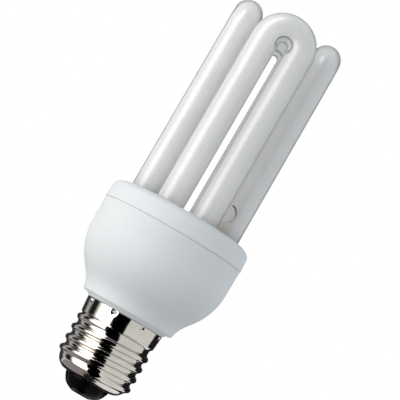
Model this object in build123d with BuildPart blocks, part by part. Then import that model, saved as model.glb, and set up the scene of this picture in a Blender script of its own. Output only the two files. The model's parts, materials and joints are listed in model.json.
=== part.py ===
from build123d import *
import os
from math import atan2, cos, degrees, hypot, radians, sin, sqrt, tan

# Compact fluorescent lamp: four U-shaped discharge tubes on a moulded ballast housing with a screw cap.
# The origin is the tip of the centre contact, +Z runs up the axis to the tubes, and one tube faces -Y.
# Lengths are in millimetres.

# Overall
lamp_length = 134.3

# Screw cap: an Edison screw shell of 27 mm nominal size, pressed from sheet
thread_major_d = 26.3
thread_depth = 1.1
thread_pitch = 3.629
thread_rise = 3.8  # from the mouth of the shell to the middle of the ridge where it first passes +X
thread_turns = (-0.3, 0, 0.3, 0.6, 3.5, 3.65)  # where its stretches begin and end, in turns from there
ridge_start = 0.1  # share of its height where it rises from the rolled end
ridge_stop = 0.5  # and where it runs out in the step of the skirt
ridge_foot = 2.8  # width of the ridge at its foot
ridge_shoulder = 1.6  # width of the ridge where it turns to its crest
ridge_crown = 0.35  # height of the crest above that
ridge_root = 0.2  # depth of the ridge's foot in the wall
sheet = 0.35
mouth_d = 15.2
mouth_z = 4.7
seat_flats = 3  # flats that the inside of the rolled end is made of, under the glass
skirt_step = 0.75  # how far the foot of the skirt stands out past the roots of the thread
skirt_taper = 0.4  # how far its rim stands out past its foot
skirt_height = 5.0
cap_top_z = 28.1

# Insulator and centre contact
contact_d = 9.4
contact_turn = 1.7  # width of the contact's turned-up edge
contact_thick = 0.9
glass_rim = 0.3  # glass that shows round the contact
glass_bulge = 1.4  # how far the glass stands out past that rim where its side turns
glass_bulge_rise = 1.2
lead_hole_d = 1.4
seat_gap = 0.05  # between pieces that are fused, glued or snapped together

# Lower housing
housing_wall = 1.6
spigot_depth = 4.6
ring_lip = 0.1  # how far the ring's foot stands out past the skirt's rim
ring_taper = 0.9
ring_height = 0.95
neck_step = 1.6  # how far the neck stands out past the top of the ring
neck_edge = 0.5
flare_reach = 0.55  # how far the flare stands out past the neck
flare_height = 3.2
flare_round = 11.0
flare_straight = 0.1  # least straight side that this round leaves below the flare
shoulder_height = 13.05
shoulder_round = 20.9
shoulder_wall = 2.6  # level, inside the rounded shoulder
body_d = 48.2
body_height = 28.35
body_draft = 0.27  # how far the bowl leans in, from its rim down to its shoulder
rib_count = 4
rib_width = 1.6
rib_reach = 3.0
rib_height = 5.0

# Tube cover
cover_lip = 0.2  # how far the cover stands out past the bowl's rim
cover_height = 7.2
cover_draft = 0.2  # how far its side leans in, from the seam up to its rounded edge
cover_edge_width = 4.5
cover_edge_height = 2.8
cover_plate = 1.8
tongue_wall = 1.2
tongue_gap = 0.15
seam_groove = 0.3
seam_groove_depth = 0.6

# Discharge tube: four U bends joined into one vessel by three bridges
tube_d = 9.2
leg_spacing = 11.9
u_count = 4
tube_edge_gap = 0.43  # from the tubes to the inside of the cover's tongue
tube_sink = 9.0  # depth of the tube ends below the top of the cover
tube_gap = 0.2
bridge_d = 4.4
bridge_rise = 3.2

# Ballast: the board, and the gap kept between the pieces on it
board_thick = 1.6
board_drop = 8.95  # from the seam down to the board's lower face
board_gap = 0.5
part_gap = 0.6
leg_w = 0.6  # square legs of the small pieces
wire_d = 1.4

reservoir_d = 10.0
reservoir_length = 17.0
reservoir_crimp_rise = 2.5
reservoir_crimp = 0.4

core_width = 13.0
core_depth = 6.0
core_height = 12.0
core_leg = 3.6
core_window_width = 2.7
core_window_height = 8.0
bobbin_wall = 0.5
bobbin_depth = 10.6
winding_margin = 0.2
winding_round = 1.5
core_gap = 0.1

ring_core_d = 8.0
ring_core_bore = 4.0
ring_core_height = 3.5
ring_turn_thick = 0.5
ring_turn_length = 2.0
ring_turn_count = 3

transistor_d = 4.7
transistor_flat = 1.35
transistor_height = 5.0
transistor_leg = 3.0
transistor_leg_pitch = 1.27

resonant_size = (12.0, 5.0, 10.0)
coupling_size = (10.0, 4.0, 8.0)
film_round = 1.2

thermistor_d = 6.0
thermistor_thick = 2.4
thermistor_leg = 1.5

diode_d = 2.7
diode_length = 5.2
trigger_d = 1.9
trigger_length = 4.0
resistor_d = 2.4
resistor_length = 6.2
lead_reach = 1.2

fuse_d = 3.5
fuse_length = 10.0
fuse_rise = 4.0  # from the top of the glass to the fuse resistor
fuse_lead_d = 0.7
neutral_rise = 12.0  # from the top of the glass to the neutral wire's end
neutral_bend = 3.0

pin_w = 0.8
pin_height = 3.0
pin_spread = 3.2
filament_lead_d = 0.6

# Heights that follow from the above
root_r = thread_major_d / 2 - thread_depth
mouth_r = mouth_d / 2
end_round = root_r - mouth_r
end_top_z = mouth_z + end_round
skirt_z = cap_top_z - skirt_height
neck_z = cap_top_z + ring_height
flare_z = neck_z + flare_height
shoulder_z = neck_z + shoulder_height
seam_z = neck_z + body_height
cover_top_z = seam_z + cover_height
plate_z = cover_top_z - cover_plate
tube_end_z = cover_top_z - tube_sink
board_z = seam_z - board_drop
board_top_z = board_z + board_thick

# Radii that pieces share
contact_r = contact_d / 2
glass_face_r = contact_r + glass_rim
skirt_r = root_r + skirt_step
rim_r = skirt_r + skirt_taper
ring_foot_r = rim_r + ring_lip
ring_top_r = ring_foot_r + ring_taper
neck_r = ring_top_r + neck_step
flare_r = neck_r + flare_reach
shoulder_r = body_d / 2 - body_draft
cover_r = body_d / 2 + cover_lip
spigot_r = skirt_r - sheet - seat_gap
spigot_top_r = rim_r - sheet - seat_gap
spigot_bore_r = spigot_r - housing_wall
rim_bore_r = body_d / 2 - housing_wall
tube_r = tube_d / 2

# The flare's round, no larger than the side below it takes
flare_side = (flare_reach, flare_height - neck_edge)
flare_turn = atan2(shoulder_r - flare_r, shoulder_z - flare_z) - atan2(*flare_side)
flare_fillet = min(flare_round, (hypot(*flare_side) - flare_straight) / tan(flare_turn / 2))

# Inside of the bowl, as (radius, height): a wall's thickness in from the outside
shoulder_bore = (shoulder_r - shoulder_wall, shoulder_z + housing_wall)
flare_bore = (flare_r - housing_wall, flare_z + housing_wall / 2)


def bowl_bore_r(z):
    """Radius of the bowl's inside at a height above its shoulder."""
    share = (z - shoulder_bore[1]) / (seam_z - shoulder_bore[1])
    return shoulder_bore[0] + share * (rim_bore_r - shoulder_bore[0])


tongue_r = bowl_bore_r(board_top_z) - tongue_gap
tongue_bore_r = tongue_r - tongue_wall
leg_r = tongue_bore_r - tube_edge_gap - tube_r
u_plane_r = sqrt(leg_r**2 - (leg_spacing / 2) ** 2)


def leg_centre(u_angle, side, z=0.0):
    """Centre of one leg of the U that faces u_angle, on its left (-1) or right (+1) side."""
    a = radians(u_angle)
    half = side * leg_spacing / 2
    return (u_plane_r * cos(a) - half * sin(a), u_plane_r * sin(a) + half * cos(a), z)


u_angles = [-90 + 360 / u_count * i for i in range(u_count)]
leg_points = [leg_centre(a, side) for a in u_angles for side in (-1, 1)]

os.makedirs("parts", exist_ok=True)


# Screw shell: one sheet, rolled in at the mouth and widened to a plain skirt, with the thread's ridge on it
def end_seat(r):
    """The inside of the rolled end, from its wall to the mouth, as short straight flats at radius r."""
    steps = [radians(90 * i / seat_flats) for i in range(seat_flats + 1)]
    return [(mouth_r + r * cos(a), end_top_z - r * sin(a)) for a in steps]


def shell_r(z):
    """Radius of the shell's outside at a height, without the thread."""
    if z < end_top_z:
        return mouth_r + sqrt(end_round**2 - (end_top_z - z) ** 2)
    if z < skirt_z:
        return root_r + max(0, z - skirt_z + skirt_step)
    return skirt_r + skirt_taper * (z - skirt_z) / skirt_height


# The ridge's five edges, foot to foot, as heights from its middle and rises from its foot
ridge_heights = (-ridge_foot / 2, -ridge_shoulder / 2, 0, ridge_shoulder / 2, ridge_foot / 2)
ridge_crest = thread_depth + ridge_root
ridge_rises = (0, ridge_crest - ridge_crown, ridge_crest, ridge_crest - ridge_crown, 0)


def ridge_radii(turn):
    """Radii of the ridge's five edges at a turn."""
    share = {thread_turns[0]: ridge_start, thread_turns[-1]: ridge_stop}.get(turn, 1)
    middle = mouth_z + thread_rise + turn * thread_pitch
    return [shell_r(middle + z) - ridge_root + share * rise for z, rise in zip(ridge_heights, ridge_rises)]


def ridge_span(first, last):
    """A stretch of the ridge between two turns, which is low where the thread begins and ends."""
    climb = (last - first) * thread_pitch
    place = Pos(0, 0, mouth_z + thread_rise + first * thread_pitch) * Rot(0, 0, 360 * first)
    edges = []
    for z, first_r, last_r in zip(ridge_heights, ridge_radii(first), ridge_radii(last)):
        slope = atan2(last_r - first_r, climb)
        helix = Helix(thread_pitch / cos(slope), climb, first_r, cone_angle=degrees(slope), mode=Mode.PRIVATE)
        edges.append((place * Pos(0, 0, z) * helix).edge())
    sides = [Face.make_surface_from_curves(a, b) for a, b in zip(edges, edges[1:] + edges[:1])]
    ends = [Face(Wire.make_polygon([edge @ end for edge in edges])) for end in (0, 1)]
    return Solid(Shell(sides + ends))


with BuildPart() as screw_shell:
    with BuildSketch(Plane.XZ):
        with BuildLine():
            wall_end = CenterArc((mouth_r, end_top_z), end_round, -90, 90)
            Polyline(
                wall_end @ 1,
                (root_r, skirt_z - skirt_step),
                (skirt_r, skirt_z),
                (rim_r, cap_top_z),
                (rim_r - sheet, cap_top_z),
                (skirt_r - sheet, skirt_z + sheet / 2),
                (root_r - sheet, skirt_z - skirt_step + sheet / 2),
                (root_r - sheet, end_top_z),
            )
            inner_end = Polyline(*end_seat(end_round - sheet))
            Line(inner_end @ 1, wall_end @ 0)
        make_face()
    revolve(axis=Axis.Z)
    for first, last in zip(thread_turns, thread_turns[1:]):
        add(ridge_span(first, last))
screw_shell.part.label = "screw_shell"
export_step(screw_shell.part, "parts/screw_shell.step")

# Insulator: a glass button cast into the rolled end up to its first flat, with a hole for the lead
glass_seat = end_seat(end_round - sheet - seat_gap)[1:]
glass_top_z = glass_seat[0][1]
with BuildPart() as insulator:
    with BuildSketch(Plane.XZ):
        with BuildLine():
            Polyline(
                *glass_seat,
                (mouth_r - seat_gap, glass_seat[-1][1]),
                (mouth_r - seat_gap, mouth_z),
                (glass_face_r + glass_bulge, contact_thick + glass_bulge_rise),
                (glass_face_r, contact_thick),
                (lead_hole_d / 2, contact_thick),
                (lead_hole_d / 2, glass_top_z),
                close=True,
            )
        make_face()
    revolve(axis=Axis.Z)
insulator.part.label = "insulator"
export_step(insulator.part, "parts/insulator.step")

# Centre contact: a disc with a turned-up edge
with BuildPart() as centre_contact:
    with BuildSketch(Plane.XZ):
        with BuildLine():
            Polyline(
                (contact_r - contact_turn, 0),
                (0, 0),
                (0, contact_thick),
                (contact_r, contact_thick),
                (contact_r, contact_thick / 2),
                close=True,
            )
        make_face()
    revolve(axis=Axis.Z)
centre_contact.part.label = "centre_contact"
export_step(centre_contact.part, "parts/centre_contact.step")

# Lower housing: bowl, neck and spigot in one moulding, with ribs that carry the board
with BuildPart() as lower_housing:
    with BuildSketch(Plane.XZ):
        with BuildLine():
            outside = FilletPolyline(
                (ring_top_r, neck_z),
                (neck_r - neck_edge, neck_z),
                (neck_r, neck_z + neck_edge),
                (flare_r, flare_z),
                (shoulder_r, shoulder_z),
                (body_d / 2, seam_z),
                radius=(0, 0, flare_fillet, shoulder_round),
            )
            Polyline(
                outside @ 1,
                (rim_bore_r, seam_z),
                shoulder_bore,
                flare_bore,
                (spigot_bore_r, cap_top_z),
                (spigot_bore_r, cap_top_z - spigot_depth),
                (spigot_r, cap_top_z - spigot_depth),
                (spigot_top_r, cap_top_z),
                (ring_foot_r, cap_top_z),
                outside @ 0,
            )
        make_face()
    revolve(axis=Axis.Z)
    with BuildSketch(Plane.XY.offset(board_z)):
        rib_tip_r = bowl_bore_r(board_z) - rib_reach
        with PolarLocations(rib_tip_r, rib_count, start_angle=180 / rib_count):
            Rectangle(rib_reach + housing_wall / 2, rib_width, align=(Align.MIN, Align.CENTER))
    extrude(amount=-rib_height)
lower_housing.part.label = "lower_housing"
export_step(lower_housing.part, "parts/lower_housing.step")

# Tube cover: a cap with a hole for each leg, and a tongue inside the bowl that holds the board down
with BuildPart() as tube_cover:
    with BuildSketch(Plane.XZ):
        with BuildLine():
            edge = EllipticalCenterArc(
                (cover_r - cover_draft - cover_edge_width, cover_top_z - cover_edge_height),
                cover_edge_width,
                cover_edge_height,
                start_angle=0,
                arc_size=90,
            )
            Polyline(
                edge @ 1,
                (0, cover_top_z),
                (0, plate_z),
                (tongue_bore_r, plate_z),
                (tongue_bore_r, board_top_z),
                (tongue_r, board_top_z),
                (tongue_r, seam_z),
                (cover_r - seam_groove_depth, seam_z),
                (cover_r - seam_groove_depth, seam_z + seam_groove),
                (cover_r, seam_z + seam_groove),
                edge @ 0,
            )
        make_face()
    revolve(axis=Axis.Z)
    with BuildSketch(Plane.XY.offset(cover_top_z)):
        with Locations(*leg_points):
            Circle(tube_r + tube_gap)
    extrude(amount=-2 * cover_plate, mode=Mode.SUBTRACT)
tube_cover.part.label = "tube_cover"
export_step(tube_cover.part, "parts/tube_cover.step")

# Discharge tube: one U drawn on the YZ plane, set round the axis, then bridged into one vessel
with BuildPart() as u_tube:
    with BuildLine() as u_path:
        bend_z = lamp_length - tube_r - leg_spacing / 2
        rise = Line((0, -leg_spacing / 2, tube_end_z), (0, -leg_spacing / 2, bend_z))
        bend = ThreePointArc(rise @ 1, (0, 0, bend_z + leg_spacing / 2), (0, leg_spacing / 2, bend_z))
        Line(bend @ 1, (0, leg_spacing / 2, tube_end_z))
    with BuildSketch(Plane(rise @ 0)):
        Circle(tube_r)
    sweep(path=u_path.line)

with BuildPart() as discharge_tube:
    with PolarLocations(u_plane_r, u_count, start_angle=u_angles[0]):
        add(u_tube.part)
    bridge_z = tube_end_z + bridge_rise
    for left_u, right_u in zip(u_angles[1:], u_angles[2:] + u_angles[:1]):
        start = Vector(leg_centre(left_u, 1, bridge_z))
        end = Vector(leg_centre(right_u, -1, bridge_z))
        with BuildSketch(Plane(start, z_dir=end - start)):
            Circle(bridge_d / 2)
        extrude(amount=(end - start).length)
discharge_tube.part.label = "discharge_tube"
export_step(discharge_tube.part, "parts/discharge_tube.step")

# Circuit board: a disc that lies on the ribs, under the cover's tongue
with BuildPart() as circuit_board:
    with BuildSketch(Plane.XY.offset(board_z)):
        Circle(bowl_bore_r(board_z) - board_gap)
    extrude(amount=board_thick)
circuit_board.part.label = "circuit_board"
export_step(circuit_board.part, "parts/circuit_board.step")

# Reservoir capacitor: a can with a crimped groove, left of the live wire
reservoir_x = -(wire_d / 2 + part_gap + reservoir_d / 2)
with BuildPart() as reservoir_capacitor:
    with BuildSketch(Plane.XY.offset(board_z)):
        with Locations((reservoir_x, 0)):
            Circle(reservoir_d / 2)
    extrude(amount=-reservoir_length)
    with BuildSketch(Plane.XY.offset(board_z - reservoir_crimp_rise)):
        with Locations((reservoir_x, 0)):
            Circle(reservoir_d / 2)
            Circle(reservoir_d / 2 - reservoir_crimp, mode=Mode.SUBTRACT)
    extrude(amount=-2 * reservoir_crimp, mode=Mode.SUBTRACT)
reservoir_capacitor.part.label = "reservoir_capacitor"
export_step(reservoir_capacitor.part, "parts/reservoir_capacitor.step")

# Choke: a ferrite frame with two windows, a bobbin on its middle leg, and the winding on the bobbin
choke_x = wire_d / 2 + part_gap + core_width / 2
choke_mid_z = board_z - core_height / 2
window_x = core_leg / 2 + core_window_width / 2
with BuildPart() as choke_core:
    with BuildSketch(Plane.XZ.offset(-core_depth / 2)):
        with Locations((choke_x, choke_mid_z)):
            Rectangle(core_width, core_height)
        with Locations((choke_x - window_x, choke_mid_z), (choke_x + window_x, choke_mid_z)):
            Rectangle(core_window_width, core_window_height, mode=Mode.SUBTRACT)
    extrude(amount=core_depth)
choke_core.part.label = "choke_core"
export_step(choke_core.part, "parts/choke_core.step")

bobbin_height = core_window_height - 2 * core_gap
bobbin_width = core_leg + 2 * core_window_width - 2 * core_gap
tube_width = core_leg + 2 * core_gap + 2 * bobbin_wall
tube_depth = core_depth + 2 * core_gap + 2 * bobbin_wall
with BuildPart() as choke_bobbin:
    with BuildSketch(Plane.XY.offset(choke_mid_z - bobbin_height / 2)) as flange:
        with Locations((choke_x, 0)):
            Rectangle(bobbin_width, bobbin_depth)
    extrude(amount=bobbin_wall)
    extrude(flange.sketch.moved(Pos(0, 0, bobbin_height - bobbin_wall)), amount=bobbin_wall)
    with BuildSketch(Plane.XY.offset(choke_mid_z - bobbin_height / 2)):
        with Locations((choke_x, 0)):
            Rectangle(tube_width, tube_depth)
    extrude(amount=bobbin_height)
    with BuildSketch(Plane.XY.offset(choke_mid_z - bobbin_height / 2)):
        with Locations((choke_x, 0)):
            Rectangle(core_leg + 2 * core_gap, core_depth + 2 * core_gap)
    extrude(amount=bobbin_height, mode=Mode.SUBTRACT)
choke_bobbin.part.label = "choke_bobbin"
export_step(choke_bobbin.part, "parts/choke_bobbin.step")

winding_height = bobbin_height - 2 * bobbin_wall - 2 * seat_gap
with BuildPart() as choke_winding:
    with BuildSketch(Plane.XY.offset(choke_mid_z - winding_height / 2)):
        with Locations((choke_x, 0)):
            RectangleRounded(
                bobbin_width - 2 * winding_margin,
                bobbin_depth - 2 * winding_margin,
                winding_round,
            )
            Rectangle(tube_width + 2 * seat_gap, tube_depth + 2 * seat_gap, mode=Mode.SUBTRACT)
    extrude(amount=winding_height)
choke_winding.part.label = "choke_winding"
export_step(choke_winding.part, "parts/choke_winding.step")

# Feedback transformer: a ferrite ring in front of the reservoir capacitor, with three short windings
ring_at = (reservoir_x, -(reservoir_d / 2 + part_gap + ring_turn_thick + ring_core_d / 2))
ring_z = board_z - ring_turn_thick - ring_core_height / 2
with BuildPart() as feedback_ring:
    with BuildSketch(Plane.XY.offset(ring_z - ring_core_height / 2)):
        with Locations(ring_at):
            Circle(ring_core_d / 2)
            Circle(ring_core_bore / 2, mode=Mode.SUBTRACT)
    extrude(amount=ring_core_height)
feedback_ring.part.label = "feedback_ring"
export_step(feedback_ring.part, "parts/feedback_ring.step")

ring_section = (ring_core_d - ring_core_bore) / 2
ring_mid_r = (ring_core_d + ring_core_bore) / 4
turn_width = ring_section + 2 * ring_turn_thick
turn_height = ring_core_height + 2 * ring_turn_thick
with BuildPart() as feedback_windings:
    with Locations((*ring_at, ring_z)):
        with PolarLocations(ring_mid_r, ring_turn_count):
            Box(turn_width, ring_turn_length, turn_height)
    with BuildSketch(Plane.XY.offset(ring_z - ring_core_height / 2 - seat_gap)):
        with Locations(ring_at):
            Circle(ring_core_d / 2 + seat_gap)
            Circle(ring_core_bore / 2 - seat_gap, mode=Mode.SUBTRACT)
    extrude(amount=ring_core_height + 2 * seat_gap, mode=Mode.SUBTRACT)
feedback_windings.part.label = "feedback_windings"
export_step(feedback_windings.part, "parts/feedback_windings.step")

# Switching transistors: two D-shaped cases on three legs, behind the reservoir capacitor
transistor_y = reservoir_d / 2 + part_gap + transistor_d / 2
transistor_pitch = transistor_d + part_gap
transistor_top_z = board_z - transistor_leg
for name, x in (("a", reservoir_x), ("b", reservoir_x - transistor_pitch)):
    with BuildPart() as transistor:
        with BuildSketch(Plane.XY.offset(transistor_top_z)):
            with Locations((x, transistor_y)):
                Circle(transistor_d / 2)
            with Locations((x, transistor_y - transistor_flat)):
                Rectangle(transistor_d, transistor_d, align=(Align.CENTER, Align.MAX), mode=Mode.SUBTRACT)
        extrude(amount=-transistor_height)
        with BuildSketch(Plane.XY.offset(transistor_top_z)):
            with Locations((x, transistor_y)):
                with GridLocations(transistor_leg_pitch, 0, 3, 1):
                    Rectangle(leg_w, leg_w)
        extrude(amount=transistor_leg)
    transistor.part.label = f"switch_transistor_{name}"
    export_step(transistor.part, f"parts/switch_transistor_{name}.step")

# Film capacitors: dipped blocks behind and in front of the choke
film_places = {
    "resonant_capacitor": (resonant_size, choke_x - core_width / 4, 1),
    "coupling_capacitor": (coupling_size, choke_x, -1),
}
for name, (size, x, side) in film_places.items():
    with BuildPart() as film_capacitor:
        with BuildSketch(Plane.XY.offset(board_z)):
            with Locations((x, side * (bobbin_depth / 2 + part_gap + size[1] / 2))):
                RectangleRounded(size[0], size[1], film_round)
        extrude(amount=-size[2])
    film_capacitor.part.label = name
    export_step(film_capacitor.part, f"parts/{name}.step")

# Starting thermistor: a disc standing on two legs, behind the first transistor
thermistor_y = transistor_y + transistor_d / 2 + part_gap + thermistor_thick / 2
thermistor_z = board_z - thermistor_leg - thermistor_d / 2
with BuildPart() as starting_thermistor:
    with Locations((reservoir_x, thermistor_y, thermistor_z)):
        Cylinder(thermistor_d / 2, thermistor_thick, rotation=(90, 0, 0))
        with GridLocations(thermistor_d / 2, 0, 2, 1):
            Box(leg_w, leg_w, board_z - thermistor_z, align=(Align.CENTER, Align.CENTER, Align.MIN))
starting_thermistor.part.label = "starting_thermistor"
export_step(starting_thermistor.part, "parts/starting_thermistor.step")


def axial_places(points, length, along):
    """Middles of the legs at both ends of the axial pieces at points, which lie along X or Y."""
    reach = (length + lead_reach) / 2
    return [(x + s * reach * along[0], y + s * reach * along[1], z) for x, y, z in points for s in (-1, 1)]


# Rectifier diodes: four, lying left of the reservoir capacitor
diode_x = reservoir_x - reservoir_d / 2 - part_gap - diode_d / 2
diode_pitch_x = diode_d + part_gap / 2
diode_half_y = diode_length / 2 + lead_reach
diode_points = [
    (diode_x - i * diode_pitch_x, s * diode_half_y, board_z - diode_d / 2) for i in (0, 1) for s in (-1, 1)
]
with BuildPart() as rectifier_diodes:
    with Locations(*diode_points):
        Cylinder(diode_d / 2, diode_length, rotation=(90, 0, 0))
        Box(leg_w, diode_length + lead_reach + leg_w, leg_w)
    with Locations(*axial_places(diode_points, diode_length, (0, 1))):
        Box(leg_w, leg_w, diode_d / 2, align=(Align.CENTER, Align.CENTER, Align.MIN))
rectifier_diodes.part.label = "rectifier_diodes"
export_step(rectifier_diodes.part, "parts/rectifier_diodes.step")

# Trigger diode: between the feedback ring and the coupling capacitor, in front of the neutral wire
neutral_y = -(reservoir_d / 2 + part_gap + wire_d / 2)
trigger_x = ring_at[0] + ring_core_d / 2 + ring_turn_thick + part_gap + trigger_d / 2
trigger_y = neutral_y - wire_d / 2 - part_gap - (trigger_length + lead_reach + leg_w) / 2
trigger_points = [(trigger_x, trigger_y, board_z - trigger_d / 2)]
with BuildPart() as trigger_diode:
    with Locations(*trigger_points):
        Cylinder(trigger_d / 2, trigger_length, rotation=(90, 0, 0))
        Box(leg_w, trigger_length + lead_reach + leg_w, leg_w)
    with Locations(*axial_places(trigger_points, trigger_length, (0, 1))):
        Box(leg_w, leg_w, trigger_d / 2, align=(Align.CENTER, Align.CENTER, Align.MIN))
trigger_diode.part.label = "trigger_diode"
export_step(trigger_diode.part, "parts/trigger_diode.step")

# Bias resistors: two, lying in front of the coupling capacitor
resistor_x = film_places["coupling_capacitor"][1]
resistor_y = -(bobbin_depth / 2 + 2 * part_gap + coupling_size[1] + resistor_d / 2)
resistor_points = [
    (resistor_x, resistor_y - i * (resistor_d + part_gap / 2), board_z - resistor_d / 2) for i in (0, 1)
]
with BuildPart() as bias_resistors:
    with Locations(*resistor_points):
        Cylinder(resistor_d / 2, resistor_length, rotation=(0, 90, 0))
        Box(resistor_length + lead_reach + leg_w, leg_w, leg_w)
    with Locations(*axial_places(resistor_points, resistor_length, (1, 0))):
        Box(leg_w, leg_w, resistor_d / 2, align=(Align.CENTER, Align.CENTER, Align.MIN))
bias_resistors.part.label = "bias_resistors"
export_step(bias_resistors.part, "parts/bias_resistors.step")

# Fuse resistor: on the axis, its lead running down through the glass to the contact
fuse_z = glass_top_z + fuse_rise
with BuildPart() as fuse_resistor:
    with BuildSketch(Plane.XY.offset(fuse_z)):
        Circle(fuse_d / 2)
    extrude(amount=fuse_length)
    with BuildSketch(Plane.XY.offset(contact_thick)):
        Circle(fuse_lead_d / 2)
    extrude(amount=fuse_z - contact_thick)
fuse_resistor.part.label = "fuse_resistor"
export_step(fuse_resistor.part, "parts/fuse_resistor.step")

# Live wire: straight up the axis from the fuse resistor to the board
with BuildPart() as live_wire:
    with BuildSketch(Plane.XY.offset(fuse_z + fuse_length)):
        Circle(wire_d / 2)
    extrude(amount=board_z - fuse_z - fuse_length)
live_wire.part.label = "live_wire"
export_step(live_wire.part, "parts/live_wire.step")

# Neutral wire: down beside the choke, then out to the inside of the shell
neutral_end_z = glass_top_z + neutral_rise
with BuildPart() as neutral_wire:
    with BuildLine() as neutral_path:
        FilletPolyline(
            (0, neutral_y, board_z),
            (0, neutral_y, neutral_end_z),
            (0, -(root_r - sheet - seat_gap), neutral_end_z),
            radius=neutral_bend,
        )
    with BuildSketch(Plane((0, neutral_y, board_z))):
        Circle(wire_d / 2)
    sweep(path=neutral_path.line)
neutral_wire.part.label = "neutral_wire"
export_step(neutral_wire.part, "parts/neutral_wire.step")

# Wrap pins and filament leads: two for each of the tube's two electrode ends
lead_points = []
for angle, side in ((u_angles[0], 1), (u_angles[1], -1)):
    x, y, _ = leg_centre(angle, side)
    for s in (-1, 1):
        half = s * pin_spread / 2
        lead_points.append((x - half * sin(radians(angle)), y + half * cos(radians(angle))))

with BuildPart() as wrap_pins:
    with BuildSketch(Plane.XY.offset(board_top_z)):
        with Locations(*lead_points):
            Rectangle(pin_w, pin_w)
    extrude(amount=pin_height)
wrap_pins.part.label = "wrap_pins"
export_step(wrap_pins.part, "parts/wrap_pins.step")

with BuildPart() as filament_leads:
    with BuildSketch(Plane.XY.offset(board_top_z + pin_height)):
        with Locations(*lead_points):
            Circle(filament_lead_d / 2)
    extrude(amount=tube_end_z - board_top_z - pin_height)
filament_leads.part.label = "filament_leads"
export_step(filament_leads.part, "parts/filament_leads.step")
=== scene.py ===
# %% [markdown]
# # A compact fluorescent lamp
# The lamp's solids come from CAD and are a fixed frame. This lesson dresses them: clear glass over a
# white coating, a bright screw shell, black glass, white moulded plastic, and a small studio to look at
# them in.

# %% Load the lamp's solids
import json
import math

import bpy
from mathutils import Matrix, Quaternion, Vector


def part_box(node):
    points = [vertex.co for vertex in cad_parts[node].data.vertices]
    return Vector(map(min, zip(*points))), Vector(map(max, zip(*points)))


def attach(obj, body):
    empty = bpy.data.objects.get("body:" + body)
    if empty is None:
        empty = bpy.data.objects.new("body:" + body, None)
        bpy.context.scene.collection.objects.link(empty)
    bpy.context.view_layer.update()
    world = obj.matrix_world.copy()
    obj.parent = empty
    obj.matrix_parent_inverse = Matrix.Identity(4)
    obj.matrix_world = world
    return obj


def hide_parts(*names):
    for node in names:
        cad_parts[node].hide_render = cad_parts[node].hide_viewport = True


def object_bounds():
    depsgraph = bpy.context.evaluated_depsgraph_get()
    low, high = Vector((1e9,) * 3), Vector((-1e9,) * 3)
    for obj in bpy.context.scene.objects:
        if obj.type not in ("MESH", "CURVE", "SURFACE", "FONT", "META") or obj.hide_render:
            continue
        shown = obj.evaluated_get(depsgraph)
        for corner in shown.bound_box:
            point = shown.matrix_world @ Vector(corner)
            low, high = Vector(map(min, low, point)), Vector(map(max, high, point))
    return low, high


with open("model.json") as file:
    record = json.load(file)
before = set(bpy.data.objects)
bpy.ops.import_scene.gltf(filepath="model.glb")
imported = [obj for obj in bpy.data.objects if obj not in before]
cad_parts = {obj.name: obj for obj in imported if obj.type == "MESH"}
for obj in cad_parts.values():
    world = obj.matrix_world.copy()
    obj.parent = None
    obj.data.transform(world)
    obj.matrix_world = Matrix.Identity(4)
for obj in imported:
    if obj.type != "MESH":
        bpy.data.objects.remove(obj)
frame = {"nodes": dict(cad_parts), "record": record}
cad_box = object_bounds()
mm = 0.001
cad_size = [round(side / mm, 1) for side in cad_box[1] - cad_box[0]]
print("solids:", len(frame["nodes"]), "size in mm:", cad_size)

# %% [markdown]
# ## Working as by hand
# Every operator acts on what is selected, so each piece starts with nothing selected. When a piece is
# shaped, its doubled points are merged, its faces are turned outwards, and all but its sharp corners is
# smoothed.

# %% Helpers for selecting and finishing a piece
merge_gap = 0.0005 * mm


def deselect():
    """Leaves edit mode and selects nothing."""
    if bpy.context.mode != "OBJECT":
        bpy.ops.object.mode_set(mode="OBJECT")
    bpy.ops.object.select_all(action="DESELECT")


def pick(piece):
    """Makes one piece the selected and active one."""
    deselect()
    piece.select_set(True)
    bpy.context.view_layer.objects.active = piece


def edit_all(piece):
    """Opens one piece in edit mode with all of it selected."""
    pick(piece)
    bpy.ops.object.mode_set(mode="EDIT")
    bpy.ops.mesh.select_all(action="SELECT")


def close_up(piece, keep_sharp=40):
    """Merges doubled points, turns the faces outwards and smooths all but the sharp corners."""
    edit_all(piece)
    bpy.ops.mesh.remove_doubles(threshold=merge_gap)
    bpy.ops.mesh.normals_make_consistent(inside=False)
    bpy.ops.object.mode_set(mode="OBJECT")
    bpy.ops.object.shade_smooth_by_angle(angle=math.radians(keep_sharp))
    return piece


print("points nearer than", merge_gap / mm, "mm are merged")


# %% Helpers for modifiers, and for putting a piece on the lamp
def apply(piece, kind, **settings):
    """Adds a modifier with these settings and applies it."""
    pick(piece)
    modifier = piece.modifiers.new(kind.lower(), kind)
    for key, value in settings.items():
        setattr(modifier, key, value)
    bpy.ops.object.modifier_apply(modifier=modifier.name)


def unite(piece, other):
    """Fuses another closed piece into this one, and removes the other."""
    apply(piece, "BOOLEAN", operation="UNION", solver="EXACT", object=other)
    bpy.data.objects.remove(other)


def triangles(piece):
    """How many triangles a piece has."""
    return sum(len(face.vertices) - 2 for face in piece.data.polygons)


def dress(piece, name, material):
    """Names a finished piece, puts it on the lamp, and gives it its material."""
    piece.name = piece.data.name = name
    piece.data.materials.clear()
    piece.data.materials.append(material)
    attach(piece, "root")
    print(name, "made of", triangles(piece), "triangles")


print("pieces of the frame to dress:", sorted(frame["nodes"]))

# %% [markdown]
# ## Turned pieces
# The screw shell, the glass button and the contact are all round. The Spin tool could turn a profile, but
# here a ring is drawn along the axis instead: it is extruded to each next height and scaled to its
# radius, as a spinner draws a cup from sheet. Its rings stay even, so their points can still be moved
# afterwards, as a die moves metal.


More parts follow.
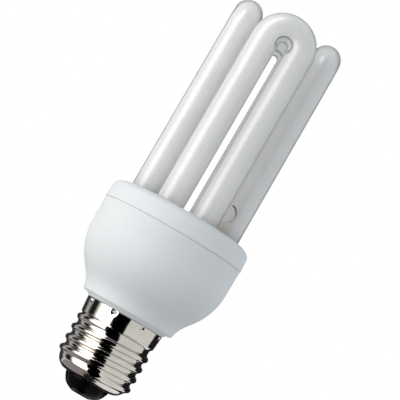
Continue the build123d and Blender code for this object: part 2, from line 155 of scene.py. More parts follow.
# %% A ring drawn through a profile
def turned(profile, segments):
    """Draws a ring through a profile of (radius, height) points, and leaves its ends open."""
    deselect()
    radius, height = profile[0]
    bpy.ops.mesh.primitive_circle_add(vertices=segments, radius=radius, location=(0, 0, height))
    piece = bpy.context.object
    bpy.ops.object.transform_apply(location=True)
    edit_all(piece)
    for next_radius, next_height in profile[1:]:
        bpy.ops.mesh.extrude_edges_move(TRANSFORM_OT_translate={"value": (0, 0, next_height - height)})
        share = next_radius / radius
        bpy.ops.transform.resize(value=(share, share, 1))
        radius, height = next_radius, next_height
    bpy.ops.object.mode_set(mode="OBJECT")
    return piece


def fill_ends(piece):
    """Closes the open ends of a piece with flat faces."""
    edit_all(piece)
    bpy.ops.mesh.fill_holes(sides=0)
    bpy.ops.object.mode_set(mode="OBJECT")


def arc(centre, radius, first, last, steps):
    """Points of an arc in (radius, height), from one angle to another in degrees."""
    angles = [math.radians(first + (last - first) * i / steps) for i in range(steps + 1)]
    return [(centre[0] + radius * math.cos(a), centre[1] + radius * math.sin(a)) for a in angles]


def line(start, end, steps):
    """Points along a straight line in (radius, height), without its first one."""
    shares = [i / steps for i in range(1, steps + 1)]
    return [tuple(a + (b - a) * share for a, b in zip(start, end)) for share in shares]


print("a line in two steps:", line((0, 0), (1, 2), 2))

# %% [markdown]
# ## Surfaces that have been handled
# No real surface is one flat colour: it has cloudy patches, a fine grain and a little dirt. An image
# could show them, but noise on Object coordinates needs no file and no unwrapping. All the materials
# share one node group that makes a mask of patches and a mask of grain from it, each at its own scale.

# %% The shared surface group
surface = bpy.data.node_groups.new("surface marks", "ShaderNodeTree")
for label, start in (("Patch scale", 60.0), ("Grain scale", 900.0)):
    socket = surface.interface.new_socket(label, in_out="INPUT", socket_type="NodeSocketFloat")
    socket.default_value = start
for label in ("Patch", "Grain"):
    surface.interface.new_socket(label, in_out="OUTPUT", socket_type="NodeSocketFloat")
inside = surface.nodes.new("NodeGroupInput")
outside = surface.nodes.new("NodeGroupOutput")
place = surface.nodes.new("ShaderNodeTexCoord")
for label, detail in (("Patch", 3.0), ("Grain", 2.0)):
    noise = surface.nodes.new("ShaderNodeTexNoise")
    noise.inputs["Detail"].default_value = detail
    surface.links.new(place.outputs["Object"], noise.inputs["Vector"])
    surface.links.new(inside.outputs[label + " scale"], noise.inputs["Scale"])
    surface.links.new(noise.outputs["Fac"], outside.inputs[label])
print("group with", len(surface.nodes), "nodes")


# %% A material built on the group
relief_depth = 0.02 * mm
patch_start, patch_end = 0.3, 0.7


def finish_material(name, colours, roughness, patch, grain, bump, **constants):
    """A Principled material: its colour follows the patches, its gloss and relief follow the grain."""
    material = bpy.data.materials.new(name)
    material.use_nodes = True
    nodes, links = material.node_tree.nodes, material.node_tree.links
    shader = nodes["Principled BSDF"]
    for socket, value in constants.items():
        shader.inputs[socket.replace("_", " ")].default_value = value
    marks = nodes.new("ShaderNodeGroup")
    marks.node_tree = surface
    marks.inputs["Patch scale"].default_value = patch
    marks.inputs["Grain scale"].default_value = grain
    tint = nodes.new("ShaderNodeValToRGB")
    for stop, place, colour in zip(tint.color_ramp.elements, (patch_start, patch_end), colours):
        stop.position = place
        stop.color = (*colour, 1)
    links.new(marks.outputs["Patch"], tint.inputs["Fac"])
    links.new(tint.outputs["Color"], shader.inputs["Base Color"])
    gloss = nodes.new("ShaderNodeMapRange")
    gloss.inputs["To Min"].default_value, gloss.inputs["To Max"].default_value = roughness
    links.new(marks.outputs["Grain"], gloss.inputs["Value"])
    links.new(gloss.outputs["Result"], shader.inputs["Roughness"])
    relief = nodes.new("ShaderNodeBump")
    relief.inputs["Strength"].default_value = bump
    relief.inputs["Distance"].default_value = relief_depth
    links.new(marks.outputs["Grain"], relief.inputs["Height"])
    links.new(relief.outputs["Normal"], shader.inputs["Normal"])
    return material


print("the grain's relief is", relief_depth / mm, "mm deep at full strength")

# %% [markdown]
# Some marks lie in one place only. A small helper mixes a colour into a material wherever some measure,
# such as the distance from a point, is small. It is put between the Base Color socket and what fed it
# before.


# %% Marks in one place
def math_node(tree, operation, first, second=None):
    """One Math node fed by sockets or numbers."""
    node = tree.nodes.new("ShaderNodeMath")
    node.operation = operation
    for value, socket in zip((first, second), node.inputs):
        if isinstance(value, (int, float)):
            socket.default_value = value
        elif value is not None:
            tree.links.new(value, socket)
    return node.outputs["Value"]


def tint_near(material, distance, near, far, colour):
    """Mixes a colour into a material where a distance is under near, and fades it out up to far."""
    nodes, links = material.node_tree.nodes, material.node_tree.links
    fade = nodes.new("ShaderNodeMapRange")
    fade.interpolation_type = "SMOOTHSTEP"
    fade.inputs["From Min"].default_value, fade.inputs["From Max"].default_value = near, far
    fade.inputs["To Min"].default_value, fade.inputs["To Max"].default_value = 1, 0
    links.new(distance, fade.inputs["Value"])
    base = nodes["Principled BSDF"].inputs["Base Color"]
    mix = nodes.new("ShaderNodeMix")
    mix.data_type = "RGBA"
    links.new(fade.outputs["Result"], mix.inputs["Factor"])
    links.new(base.links[0].from_socket, mix.inputs["A"])
    mix.inputs["B"].default_value = (*colour, 1)
    links.new(mix.outputs["Result"], base)


print("marks are mixed in between Base Color and what fed it")

# %% [markdown]
# ## The glass tubes
# The vessel is four U-shaped glass tubes. One U is a circle that is extruded up, spun over the bend and
# extruded down again, as a straight tube is bent over a flame. A curve with a round bevel would do too,
# but this way the rings of points follow the bend, and some of them can be moved later. The U is modelled
# once and copied three times round the axis. Three short bridges near the ends, inside the housing, join
# the four into one vessel.

# %% Sizes of the tubes, read from the frame where it has them
tube_low, tube_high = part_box("discharge_tube")
tube_r = 4.6 * mm
leg_spacing = 11.9 * mm
leg_half = leg_spacing / 2
bridge_r, bridge_rise = 2.2 * mm, 3.2 * mm
u_plane = -tube_low.y - tube_r
bend_z = tube_high.z - tube_r - leg_half
around, bend_steps = 72, 48
eye_drop, eye_steps = 0.5 * mm, 4
u_turns = [math.radians(turn) for turn in (0, 90, 180, 270)]
print("tubes", round(2 * tube_r / mm, 2), "mm wide, bent", round(bend_z / mm, 2), "mm above the contact")


# %% One U, and how it is copied round the axis
def leg_at(u, side, z):
    """The middle of the left (-1) or right (+1) leg of one U, at a height."""
    return Matrix.Rotation(u_turns[u], 3, "Z") @ Vector((side * leg_half, -u_plane, z))


def u_tube(radius, end_z):
    """One U that faces the front, of this radius, with its legs ending at end_z."""
    deselect()
    bpy.ops.mesh.primitive_circle_add(vertices=around, radius=radius, location=leg_at(0, -1, end_z))
    tube = bpy.context.object
    bpy.ops.object.transform_apply(location=True)
    edit_all(tube)
    climbs = [bend_z - eye_drop - end_z] + [eye_drop / eye_steps] * eye_steps
    for climb in climbs:
        bpy.ops.mesh.extrude_edges_move(TRANSFORM_OT_translate={"value": (0, 0, climb)})
    bpy.ops.mesh.spin(steps=bend_steps, angle=-math.pi, center=(0, -u_plane, bend_z), axis=(0, 1, 0))
    for climb in reversed(climbs):
        bpy.ops.mesh.extrude_edges_move(TRANSFORM_OT_translate={"value": (0, 0, -climb)})
    fill_ends(tube)
    return close_up(tube)


def all_round(u):
    """Copies a U round the axis and joins them all into one piece."""
    copies = []
    for turn in u_turns[1:]:
        pick(u)
        bpy.ops.object.duplicate()
        copies.append(bpy.context.object)
        copies[-1].data.transform(Matrix.Rotation(turn, 4, "Z"))
    pick(u)
    for copy in copies:
        copy.select_set(True)
    bpy.ops.object.join()


print("a U is copied to", [round(math.degrees(turn)) for turn in u_turns], "degrees")


# %% Glass tubes and their bridges
def rod(start, end, radius):
    """A round rod from one point to another."""
    deselect()
    along = end - start
    bpy.ops.mesh.primitive_cylinder_add(
        vertices=around,
        radius=radius,
        depth=along.length,
        location=(start + end) / 2,
        rotation=along.to_track_quat("Z", "Y").to_euler(),
    )
    piece = bpy.context.object
    bpy.ops.object.transform_apply(location=True, rotation=True)
    return piece


glass = u_tube(tube_r, tube_low.z)
all_round(glass)
bridge_z = tube_low.z + bridge_rise
bridged = ((1, 2), (2, 3), (3, 0))
for left, right in bridged:
    unite(glass, rod(leg_at(left, 1, bridge_z), leg_at(right, -1, bridge_z), bridge_r))
close_up(glass, keep_sharp=30)
print("glass with", len(bridged), "bridges:", triangles(glass), "triangles")

# %% [markdown]
# Clear glass is a Principled shader with full transmission. Light has to reach the coating behind it, and
# a path tracer finds lamps poorly through refraction, so the glass lets shadow rays straight through.
# Seen edge-on, a glass wall looks dark, and here that dark rim is painted: where the Layer Weight node
# finds the glass edge-on, its colour is mixed to dark grey, a painted shade.


# %% The glass material
def pass_light(material, share):
    """Lets a share of the light that goes to other surfaces straight through a material."""
    tree = material.node_tree
    ray = tree.nodes.new("ShaderNodeLightPath")
    open_way = tree.nodes.new("ShaderNodeBsdfTransparent")
    choice = tree.nodes.new("ShaderNodeMixShader")
    part = math_node(tree, "MULTIPLY", ray.outputs["Is Shadow Ray"], share)
    tree.links.new(part, choice.inputs["Fac"])
    tree.links.new(tree.nodes["Principled BSDF"].outputs["BSDF"], choice.inputs[1])
    tree.links.new(open_way.outputs["BSDF"], choice.inputs[2])
    tree.links.new(choice.outputs["Shader"], tree.nodes["Material Output"].inputs["Surface"])


# Painted shade: the glass's colour turns dark grey where it is seen edge-on.
rim_dark, rim_clear = 0.15, 0.5
painted_rim_shade = (0.28, 0.29, 0.3)
clear = finish_material(
    "clear glass",
    colours=((0.975, 0.98, 0.98), (0.985, 0.99, 0.99)),
    roughness=(0.0, 0.02),
    patch=90,
    grain=250,
    bump=0.03,
    IOR=1.5,
    Transmission_Weight=1.0,
)
facing = clear.node_tree.nodes.new("ShaderNodeLayerWeight")
face_on = math_node(clear.node_tree, "SUBTRACT", 1, facing.outputs["Facing"])
tint_near(clear, face_on, rim_dark, rim_clear, painted_rim_shade)
pass_light(clear, 1.0)
dress(glass, "glass_tubes", clear)
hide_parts("discharge_tube")

# %% [markdown]
# ## The white coating
# The powder coating lies on the inside of the glass. Refraction makes it look as wide as the tube. Glass
# gathers on the inside of a tight bend, so there the coating stands back and a clear round eye shows
# round the end of the slot. The coating is one more U, a little thinner, whose points inside the bend are
# pressed back from its middle.

# %% Coating
coat_wall, coat_end = 0.9 * mm, 2 * mm
coat_r = tube_r - coat_wall
eye_r, eye_z = 3.03 * mm, bend_z + 0.2 * mm
coat = u_tube(coat_r, tube_low.z + coat_end)
for point in coat.data.vertices:
    rise = min(max((point.co.z - bend_z + eye_drop) / eye_drop, 0), 1)
    out = math.hypot(point.co.x, point.co.z - eye_z)
    if out < eye_r and rise > 0:
        share = 1 + rise * (eye_r / out - 1)
        point.co.x *= share
        point.co.z = eye_z + (point.co.z - eye_z) * share
all_round(coat)
close_up(coat)
print("eyes", round(2 * eye_r / mm, 2), "mm wide")

# %% [markdown]
# The powder is matt, and light goes far into it and through it. Subsurface scattering spreads the light
# along the tube, and most of the light that falls on a tube goes on to the tubes behind it.

# %% The coating's material
scatter_reach, light_through = 25 * mm, 0.65
coating = finish_material(
    "white coating",
    colours=((0.74, 0.745, 0.75), (0.77, 0.77, 0.77)),
    roughness=(0.75, 0.95),
    patch=120,
    grain=2500,
    bump=0.1,
    Subsurface_Weight=1.0,
    Subsurface_Radius=(1, 1, 1),
    Subsurface_Scale=scatter_reach,
)
pass_light(coating, light_through)
dress(coat, "white_coating", coating)

# %% [markdown]
# The coating isn't the same all over. Round each eye a thin dark grey line is painted along its edge, a
# painted shade, and beside the electrodes it has gone a little brown, as it does after some hours of use.
# Both marks are masks from distances on Object coordinates.


# %% Marks on the coating
def distance_from(material, point):
    """The distance from one point, on Object coordinates."""
    tree = material.node_tree
    spot = tree.nodes.new("ShaderNodeTexCoord")
    distance = tree.nodes.new("ShaderNodeVectorMath")
    distance.operation = "DISTANCE"
    tree.links.new(spot.outputs["Object"], distance.inputs[0])
    distance.inputs[1].default_value = point
    return distance.outputs["Value"]


# Painted shade: a thin dark grey line along the edge of each eye.
edge_depth, edge_near, edge_far = 1.3 * mm, 0.04 * mm, 0.12 * mm
painted_eye_shade, brown = (0.3, 0.3, 0.31), (0.72, 0.64, 0.52)
coat_tree = coating.node_tree
spot = coat_tree.nodes.new("ShaderNodeTexCoord")
axes = coat_tree.nodes.new("ShaderNodeSeparateXYZ")
coat_tree.links.new(spot.outputs["Object"], axes.inputs["Vector"])
sides = [math_node(coat_tree, "ABSOLUTE", axes.outputs[axis]) for axis in "XY"]
across = math_node(coat_tree, "MINIMUM", *sides)
forward = math_node(coat_tree, "MAXIMUM", *sides)
up = math_node(coat_tree, "SUBTRACT", axes.outputs["Z"], eye_z)
squares = [math_node(coat_tree, "MULTIPLY", value, value) for value in (across, up)]
from_eye = math_node(coat_tree, "SQRT", math_node(coat_tree, "ADD", *squares))
depth = math_node(coat_tree, "ABSOLUTE", math_node(coat_tree, "SUBTRACT", forward, u_plane))
behind = math_node(coat_tree, "SUBTRACT", eye_r + edge_depth, depth)
from_edge = math_node(coat_tree, "MAXIMUM", from_eye, behind)
tint_near(coating, from_edge, eye_r + edge_near, eye_r + edge_far, painted_eye_shade)

brown_at = leg_at(1, -1, 66.5 * mm) + Vector((-2.3, -2.8, 0)) * mm
brown_near, brown_far = 0.5 * mm, 2.6 * mm
tint_near(coating, distance_from(coating, brown_at), brown_near, brown_far, brown)
print("brown patch at", [round(value / mm, 1) for value in brown_at], "mm")

# %% [markdown]
# ## An electrode that shows
# Each end of the vessel has an electrode on two bent wires. In one leg the wire leans on the glass and
# shows as a dark hook. It is a small circle that is spun along an arc and closed at its ends, and then
# its points are moved out until the hook lies under the glass.

# %% Electrode wire
hook_leg = leg_at(1, -1, 71.1 * mm)
hook_middle = hook_leg + Vector((-3.5, 0, 0)) * mm
hook_reach, hook_turn = 3 * mm, math.radians(75)
wire_r, wire_around, hook_steps = 0.28 * mm, 16, 24
hook_depth = 4.15 * mm
hook_start = Vector((math.cos(hook_turn), 0, math.sin(hook_turn)))
deselect()
bpy.ops.mesh.primitive_circle_add(
    vertices=wire_around,
    radius=wire_r,
    location=hook_middle + hook_start * hook_reach,
    rotation=hook_start.cross(Vector((0, 1, 0))).to_track_quat("Z", "Y").to_euler(),
)
hook = bpy.context.object
bpy.ops.object.transform_apply(location=True, rotation=True)
edit_all(hook)
bpy.ops.mesh.spin(steps=hook_steps, angle=-2 * hook_turn, center=hook_middle, axis=(0, 1, 0))
fill_ends(hook)
close_up(hook)
for point in hook.data.vertices:
    point.co.y -= math.sqrt(hook_depth**2 - (point.co.x - hook_leg.x) ** 2)
print("hook with", len(hook.data.vertices), "points")

# %% [markdown]
# The wire is dull metal. Its upper end shows darkest in the photograph, and lower down the coating veils
# it, so a dark tint fades along it.

# %% The wire's material
wire_metal = finish_material(
    "electrode wire",
    colours=((0.76, 0.74, 0.67), (0.85, 0.83, 0.77)),
    roughness=(0.4, 0.6),
    patch=400,
    grain=3000,
    bump=0.2,
    Metallic=0.5,
)
hook_top = hook_middle + hook_start * hook_reach - Vector((0, 3, 0)) * mm
dark_near, dark_far, dark = 1.5 * mm, 4.5 * mm, (0.3, 0.29, 0.2)
tint_near(wire_metal, distance_from(wire_metal, hook_top), dark_near, dark_far, dark)
dress(hook, "electrode_wire", wire_metal)

# %% [markdown]
# ## The screw shell
# The shell is thin sheet that was drawn to a cup and rolled between two dies, so its thread is a smooth
# wave: two equal arcs, crest and root, that meet halfway. A Screw modifier could wind a profile, but it
# leaves seams where the thread begins and ends. So a ring is drawn up through the shell's plain outline,
# then its points move out by the wave, which climbs one pitch a turn and fades in and out at its ends.
# Eight punch marks under the rim stake the shell on the housing. Solidify then gives the sheet its
# thickness.

# %% Sizes of the shell
shell_low, shell_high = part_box("screw_shell")
crest_r, thread_depth, thread_pitch = 26.3 / 2 * mm, 1.1 * mm, 3.629 * mm
thread_first, thread_last, thread_fade = -0.42, 3.8, 0.3  # in turns
thread_start = shell_low.z + 3.8 * mm
sheet = 0.35 * mm
mouth_r = 7.6 * mm
root_r = crest_r - thread_depth
skirt_r, rim_r, rim_round = root_r + 0.75 * mm, shell_high.x, 0.3 * mm
skirt_z = shell_high.z - 5 * mm
wave_r = ((thread_pitch / 4) ** 2 + (thread_depth / 2) ** 2) / thread_depth
stake_count, stake_turn = 8, math.radians(28.3 - 90)
stake_drop, stake_depth = 0.8 * mm, 0.6 * mm
stake_half_width, stake_half_height = 0.6 * mm, 0.75 * mm
print("the thread's arcs have a radius of", round(wave_r / mm, 2), "mm")


# %% How far the dies move the sheet
def ease(share):
    """Goes smoothly from 0 to 1."""
    share = min(max(share, 0), 1)
    return share * share * (3 - 2 * share)


def thread_rise(turn, z):
    """How far the rolled thread stands out from its root, at an angle and a height."""
    turns_up = (z - thread_start) / thread_pitch
    crest = round(turns_up - turn / math.tau)
    along = crest + turn / math.tau
    off = abs(turns_up - along) * thread_pitch
    if off < thread_pitch / 4:
        rise = thread_depth - wave_r + math.sqrt(wave_r**2 - off**2)
    else:
        rise = wave_r - math.sqrt(wave_r**2 - (thread_pitch / 2 - off) ** 2)
    return rise * ease((along - thread_first) / thread_fade) * ease((thread_last - along) / thread_fade)


def stake_dent(turn, z):
    """How deep the nearest punch mark is, at an angle and a height."""
    gap = math.tau / stake_count
    across = ((turn - stake_turn + gap / 2) % gap - gap / 2) * skirt_r / stake_half_width
    up = (z - shell_high.z + stake_drop) / stake_half_height
    return stake_depth * math.exp(-(across**2 + up**2))


deepest = stake_dent(stake_turn, shell_high.z - stake_drop)
print("at the middle of a mark the sheet goes in by", round(deepest / mm, 2), "mm")

# %% Screw shell
shell_around = 240
end_steps, thread_steps, flare_steps, skirt_steps, rim_steps = 24, 84, 8, 26, 6
end_round = root_r - mouth_r
end_z = shell_low.z + end_round
flare_z = skirt_z - (skirt_r - root_r)
rim_z = shell_high.z - rim_round
outline = arc((mouth_r, end_z), end_round, -90, 0, end_steps)
outline += line((root_r, end_z), (root_r, flare_z), thread_steps)
outline += line((root_r, flare_z), (skirt_r, skirt_z), flare_steps)
outline += line((skirt_r, skirt_z), (rim_r, rim_z), skirt_steps)
outline += arc((rim_r - rim_round, rim_z), rim_round, 0, 90, rim_steps)[1:]
shell = turned(outline, shell_around)
for point in shell.data.vertices:
    radius = math.hypot(point.co.x, point.co.y)
    turn = math.atan2(point.co.y, point.co.x) % math.tau
    moved = radius - stake_dent(turn, point.co.z)
    if point.co.z < skirt_z:
        moved = max(moved, min(radius, root_r) + thread_rise(turn, point.co.z))
    point.co.x *= moved / radius
    point.co.y *= moved / radius
close_up(shell)
apply(shell, "SOLIDIFY", thickness=sheet, offset=-1)
close_up(shell)
print("shell drawn through", len(outline), "rings")

# %% [markdown]
# Nickel plate is a metal with a slightly warm grey. Rolling leaves it bright but not quite even, so its
# roughness varies a little and its relief is faint.

# %% The plated metal
nickel = finish_material(
    "nickel plate",
    colours=((0.60, 0.575, 0.53), (0.68, 0.65, 0.6)),
    roughness=(0.06, 0.14),
    patch=180,
    grain=1600,
    bump=0.08,
    Metallic=1.0,
)
dress(shell, "rolled_shell", nickel)
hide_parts("screw_shell")

# %% [markdown]
# ## Black glass and the contact
# Molten glass was poured into the end of the shell, round the contact, so its edges are soft. It is one
# more turned piece. Black glass reflects less than its gloss would suggest, and its relief is a little
# wavy.

# %% Insulator
button_high, contact_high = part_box("insulator")[1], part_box("centre_contact")[1]
button_around = 128
neck_r = mouth_r - 0.05 * mm
edge_r, edge_z = contact_high.x + 0.2 * mm, contact_high.z - 0.1 * mm
bulge = [(7.3, 3.9), (6.95, 3.1), (6.5, 2.3), (6.1, 1.75), (5.6, 1.25), (5.1, 0.95)]  # in mm
button_outline = [(button_high.x, button_high.z)]
button_outline += line((button_high.x, button_high.z), (neck_r, shell_low.z + sheet), 4)
button_outline += line((neck_r, shell_low.z + sheet), (neck_r, shell_low.z), 2)
button_outline += [(radius * mm, height * mm) for radius, height in bulge]
button = turned(button_outline + [(edge_r, edge_z)], button_around)
fill_ends(button)
close_up(button)
black_glass = finish_material(
    "black glass",
    colours=((0.001, 0.001, 0.0012), (0.003, 0.003, 0.0033)),
    roughness=(0.08, 0.2),
    patch=260,
    grain=1400,
    bump=0.25,
    Specular_IOR_Level=0.05,
)
dress(button, "glass_button", black_glass)
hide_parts("insulator")

# %% [markdown]
# The contact is a small dished disc, with a drop of solder over the hole where the lead comes through.
# Both are drawn as one outline, because solder and disc are one surface once they have run together.
# Their colour is painted dark, a painted shade for the dark surroundings the metal reflects.

# %% Contact and its solder
disc_around = 96
disc_r, disc_top, disc_side = contact_high.x, contact_high.z, 0.15 * mm
bevel_r, bevel_z = disc_r - 0.6 * mm, 0.4 * mm
face_outer_r, face_inner_r = disc_r - 1.7 * mm, disc_r - 2.1 * mm
dish_depth, solder_r, solder_gap = 0.25 * mm, 1.5 * mm, 0.3 * mm
drop_r, drop_edge, drop_steps = solder_r**2 / (2 * dish_depth), -78, 8
disc_outline = [(disc_r, disc_top), (disc_r, disc_top - disc_side)]
disc_outline += line((disc_r, disc_top - disc_side), (bevel_r, bevel_z), 3)
disc_outline += line((bevel_r, bevel_z), (face_outer_r, 0), 4)
disc_outline += [(face_inner_r, 0), (solder_r + solder_gap, dish_depth)]
disc_outline += arc((0, drop_r), drop_r, drop_edge, -90, drop_steps)[:-1]
disc = turned(disc_outline, disc_around)
fill_ends(disc)
close_up(disc)
# Painted shade: the tin's colour is made dark to stand for the dark surroundings it reflects.
tin = finish_material(
    "tinned contact",
    colours=((0.12, 0.11, 0.1), (0.26, 0.24, 0.22)),
    roughness=(0.22, 0.42),
    patch=420,
    grain=2200,
    bump=0.3,
    Metallic=1.0,
)
dress(disc, "soldered_contact", tin)
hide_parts("centre_contact")

# %% [markdown]
# ## White plastic
# The two housing shells keep their CAD form and take a moulded white plastic: nearly smooth, with a soft
# gloss and a fine, even grain.

# %% Housing
plastic = finish_material(
    "white plastic",
    colours=((0.68, 0.70, 0.705), (0.71, 0.725, 0.725)),
    roughness=(0.5, 0.62),
    patch=70,
    grain=3000,
    bump=0.06,
    Specular_IOR_Level=0.3,
)
for name in ("lower_housing", "tube_cover"):
    shown = frame["nodes"][name]
    shown.data.materials.clear()
    shown.data.materials.append(plastic)
    print(name, "keeps its CAD form")

# %% [markdown]
# The two shells are cemented, so their joint is no deep gap: a thin line of cement nearly fills its
# groove. It is a turned ring with a closed outline, which keeps a little clear of both shells.

# %% Cement in the joint
seam_z, groove_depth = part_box("lower_housing")[1].z, 0.6 * mm
groove_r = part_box("tube_cover")[1].x - groove_depth
cement_gap, cement_out, cement_rise, cement_round = 0.02 * mm, 0.38 * mm, 0.28 * mm, 0.05 * mm
cement_in_r, cement_r = groove_r + cement_gap, groove_r + cement_out
cement_low, cement_top = seam_z + cement_gap, seam_z + cement_rise
cement_side, cement_around = 0.08 * mm, 192
cement = turned(
    [
        (cement_in_r, cement_low),
        (cement_r - cement_round, cement_low),
        (cement_r, cement_low + cement_side),
        (cement_r, cement_top - cement_side),
        (cement_r - cement_round, cement_top),
        (cement_in_r, cement_top),
        (cement_in_r, cement_low),
    ],
    cement_around,
)
close_up(cement)
dress(cement, "seam_cement", plastic)

# %% [markdown]
# ## The ballast
# The ballast is shut inside and shows only when the lamp is taken apart. Each of its pieces keeps its CAD
# form and takes the colour that the record gives its kind, broken up by the shared group. Copper and tin
# are metal.

# %% Ballast
slot_colour = {entry["slot"]: entry["base_color"][:3] for entry in frame["record"]["materials"]}
metal_slots = ("copper", "tinned_metal")
outer_slots = ("housing_plastic", "coated_glass", "nickel_plate", "black_glass", "contact_metal")
worn = 0.8
ballast_finish = {}
for entry in frame["record"]["subparts"]:
    slot, node = entry["material_slot"], frame["nodes"][entry["node"]]
    if slot in outer_slots:
        continue
    if slot not in ballast_finish:
        colour = slot_colour[slot]
        ballast_finish[slot] = finish_material(
            slot.replace("_", " "),
            colours=([worn * part for part in colour], colour),
            roughness=(0.35, 0.55),
            patch=300,
            grain=1500,
            bump=0.15,
            Metallic=float(slot in metal_slots),
        )
    node.data.materials.clear()
    node.data.materials.append(ballast_finish[slot])
print("ballast finishes:", sorted(ballast_finish))

# %% [markdown]
# ## A small studio
# A white world is the background, and a dimmer, slightly blue one lights the surfaces. The Light Path
# node keeps the two apart: what is seen straight, in a mirror or through glass is white, and scattered
# light is dimmer.


# %% World
def seen_directly(tree):
    """A mask: 1 for what is seen straight, in a mirror or through glass, 0 for scattered light."""
    path = tree.nodes.new("ShaderNodeLightPath")
    direct = math_node(tree, "LESS_THAN", path.outputs["Diffuse Depth"], 0.5)
    mask = path.outputs["Is Camera Ray"]
    for name in ("Is Glossy Ray", "Is Transmission Ray"):
        mask = math_node(tree, "MAXIMUM", mask, path.outputs[name])
    return math_node(tree, "MULTIPLY", direct, mask)


scene = bpy.context.scene
scene.view_settings.view_transform = "Standard"
ambient, ambient_tint = 0.735, (0.955, 1.0, 1.045)
world = bpy.data.worlds.new("white studio")
scene.world = world
world.use_nodes = True
sky = world.node_tree
sky_tone = sky.nodes.new("ShaderNodeMix")
sky_tone.data_type = "RGBA"
sky_tone.inputs["A"].default_value = (*[part * ambient for part in ambient_tint], 1)
sky_tone.inputs["B"].default_value = (1, 1, 1, 1)
sky.links.new(seen_directly(sky), sky_tone.inputs["Factor"])
sky.links.new(sky_tone.outputs["Result"], sky.nodes["Background"].inputs["Color"])
print("scattered light is", ambient, "as bright as the background")

# %% [markdown]
# The floor is plain white paper, far below, so that the lamp can also be seen from underneath. It glows a
# little, so that it joins the background. A round of black velvet on it, which only scattered light
# meets, keeps the underside of the housing from being lit as brightly as its top.

# %% Floor and velvet
floor_drop, floor_r, paper_glow = 0.6, 3, 0.85
velvet_rise, velvet_r = 0.02, 0.45


def disc_below(name, points, radius, height):
    """A flat round piece of the stage under the lamp."""
    deselect()
    bpy.ops.mesh.primitive_circle_add(
        vertices=points, radius=radius, fill_type="NGON", location=(0, 0, height)
    )
    piece = bpy.context.object
    piece.name = name
    print(name, radius, "m in radius,", -height, "m below the contact")
    return piece


def matt(name, colour, roughness):
    """A plain matt material for the stage."""
    material = bpy.data.materials.new(name)
    material.use_nodes = True
    shader = material.node_tree.nodes["Principled BSDF"]
    shader.inputs["Base Color"].default_value = (*colour, 1)
    shader.inputs["Roughness"].default_value = roughness
    return material


floor = disc_below("floor", 96, floor_r, -floor_drop)
floor.visible_glossy = False
paper = matt("white paper", (0.85, 0.85, 0.85), 0.9)
sheet_tree = paper.node_tree
glow = sheet_tree.nodes.new("ShaderNodeEmission")
glow_mix = sheet_tree.nodes.new("ShaderNodeMixShader")
glow_share = math_node(sheet_tree, "MULTIPLY", seen_directly(sheet_tree), paper_glow)
sheet_tree.links.new(glow_share, glow_mix.inputs["Fac"])
sheet_tree.links.new(sheet_tree.nodes["Principled BSDF"].outputs["BSDF"], glow_mix.inputs[1])
sheet_tree.links.new(glow.outputs["Emission"], glow_mix.inputs[2])
sheet_tree.links.new(glow_mix.outputs["Shader"], sheet_tree.nodes["Material Output"].inputs["Surface"])
floor.data.materials.append(paper)

velvet = disc_below("velvet under the lamp", 48, velvet_r, velvet_rise - floor_drop)
velvet.visible_camera = velvet.visible_glossy = False
velvet.visible_transmission = velvet.visible_shadow = False
velvet.data.materials.append(matt("black velvet", (0.02, 0.02, 0.02), 0.95))

# %% [markdown]
# ## Three soft lamps
# A large softbox on the left is the main light, a little warm. A weaker one at the back right and one
# behind keep the far sides of the tubes from going dark. Each is placed by its direction from the middle
# of the lamp: how far round to the right of the front it stands, and how far up.

# %% Lamps
middle = Vector((0, 0, 0.068))


def towards(azimuth, elevation):
    """The direction to the right of the front by azimuth, and up by elevation, in degrees."""
    a, e = math.radians(azimuth), math.radians(elevation)
    return Vector((math.sin(a) * math.cos(e), -math.cos(a) * math.cos(e), math.sin(e)))


def softbox(name, azimuth, elevation, size, brightness, colour=(1, 1, 1), distance=1.0):
    """An area lamp of a given brightness that faces the lamp."""
    data = bpy.data.lights.new(name, "AREA")
    data.shape = "RECTANGLE"
    data.size, data.size_y = size
    data.energy = brightness * math.pi * size[0] * size[1]
    data.color = colour
    lamp = bpy.data.objects.new(name, data)
    scene.collection.objects.link(lamp)
    away = towards(azimuth, elevation)
    lamp.location = middle + away * distance
    lamp.rotation_euler = away.to_track_quat("Z", "Y").to_euler()
    lamp.visible_camera = lamp.visible_glossy = False
    print(name, round(data.energy, 2), "W")


softbox("key", -66, 4, size=(0.95, 0.4), brightness=5.2, colour=(1.0, 0.98, 0.945))
softbox("fill", 132, 10, size=(0.5, 0.5), brightness=2.4)
softbox("back light", 180, 10, size=(0.7, 0.7), brightness=1.5)

# %% [markdown]
# ## Cards round the lamp
# Bright metal shows nothing but what stands round it. In a studio, white panels and black flags give it
# its bands, and here curved cards do. Only reflections and glass see them, so they don't change the
# light. The bright panel fades out to its sides, which gives the glass its soft highlights.


# %% How a card is made
def fade_out(tree, soft):
    """A strength that falls to 0 towards the left and right ends of a card."""
    where = tree.nodes.new("ShaderNodeUVMap")
    axes = tree.nodes.new("ShaderNodeSeparateXYZ")
    fade = tree.nodes.new("ShaderNodeMapRange")
    fade.interpolation_type = "SMOOTHSTEP"
    fade.inputs["From Max"].default_value = soft / 2
    tree.links.new(where.outputs["UV"], axes.inputs["Vector"])
    tree.links.new(math_node(tree, "PINGPONG", axes.outputs["X"], 0.5), fade.inputs["Value"])
    return fade.outputs["Result"]


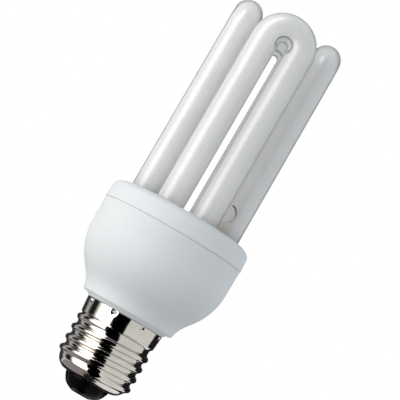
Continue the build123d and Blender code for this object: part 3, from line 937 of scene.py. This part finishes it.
def card_paint(name, tone, soft):
    """A glow that scattered light doesn't meet."""
    paint = bpy.data.materials.new(name)
    paint.use_nodes = True
    tree = paint.node_tree
    tree.nodes.remove(tree.nodes["Principled BSDF"])
    glow = tree.nodes.new("ShaderNodeEmission")
    glow.inputs["Color"].default_value = (*tone, 1)
    if soft:
        tree.links.new(fade_out(tree, soft), glow.inputs["Strength"])
    gone = tree.nodes.new("ShaderNodeBsdfTransparent")
    shown = tree.nodes.new("ShaderNodeMixShader")
    tree.links.new(seen_directly(tree), shown.inputs["Fac"])
    tree.links.new(gone.outputs["BSDF"], shown.inputs[1])
    tree.links.new(glow.outputs["Emission"], shown.inputs[2])
    tree.links.new(shown.outputs["Shader"], tree.nodes["Material Output"].inputs["Surface"])
    return paint


def card(name, azimuths, elevations, tone, distance=1.3, soft=0.0):
    """A curved card between two azimuths and two elevations, in degrees."""
    deselect()
    bpy.ops.mesh.primitive_grid_add(x_subdivisions=16, y_subdivisions=12, size=2)
    piece = bpy.context.object
    piece.name = name
    for point in piece.data.vertices:
        spans = zip((azimuths, elevations), (point.co.x, point.co.y))
        azimuth, elevation = [low + (high - low) * (share + 1) / 2 for (low, high), share in spans]
        point.co = middle + towards(azimuth, elevation) * distance
    piece.data.materials.append(card_paint(name, tone, soft))
    piece.visible_camera = piece.visible_diffuse = piece.visible_shadow = False
    print("card:", name, "from", azimuths[0], "to", azimuths[1], "degrees")


# %% Cards: name, azimuths, elevations, tone
card("bright panel", (-92, -10), (-32, 62), (5.2, 5.15, 4.9), distance=1.4, soft=1.0)
card("flag behind the camera", (-27, 18), (-88, 88), (0.001, 0.001, 0.001))
card("pale card on the right", (18, 113), (-60, 62), (0.86, 0.86, 0.87))
card("flag on the right", (113, 159), (-25, 60), (0.015, 0.016, 0.018))
card("grey card behind", (159, 210), (24, 80), (0.42, 0.42, 0.43))
card("flag behind", (159, 220), (-25, 24), (0.05, 0.05, 0.05))
card("flag low behind", (155, 205), (-75, -25), (0.01, 0.01, 0.01))
card("flag below", (-180, 180), (-90, -75), (0.01, 0.01, 0.01))
card("strip on the left", (-104, -91), (-25, 60), (0.02, 0.02, 0.02))
card("light card on the left", (-140, -104), (-25, 60), (0.6, 0.6, 0.62), soft=1.0)
card("flag high on the left", (-165, -100), (40, 80), (0.08, 0.08, 0.08))
card("grey card low on the left", (-155, -26), (-75, -28), (0.33, 0.3, 0.31))

# %% [markdown]
# ## The camera
# The photograph was taken from about 0.6 m away, from about the height of the screw cap, and the camera
# was tilted, so the lamp leans in the picture. The lens follows from how much of the lamp's plane the
# square picture takes in.

# %% Camera
camera_distance, camera_z, camera_x = 0.58, 0.019, -0.012
picture_width = 0.1254
aim = Vector((0.0020, 0, 0.0712))
lean = math.radians(30.1)
camera = bpy.data.objects.new("camera", bpy.data.cameras.new("camera"))
scene.collection.objects.link(camera)
camera.location = (camera_x, -camera_distance, camera_z)
look = aim - camera.location
camera.rotation_mode = "QUATERNION"
camera.rotation_quaternion = look.to_track_quat("-Z", "Y") @ Quaternion((0, 0, 1), lean)
camera.data.sensor_width = 36
camera.data.lens = camera.data.sensor_width * look.length / picture_width
camera.data.clip_start, camera.data.clip_end = 0.05, 20
scene.camera = camera
print("lens:", round(camera.data.lens), "mm")
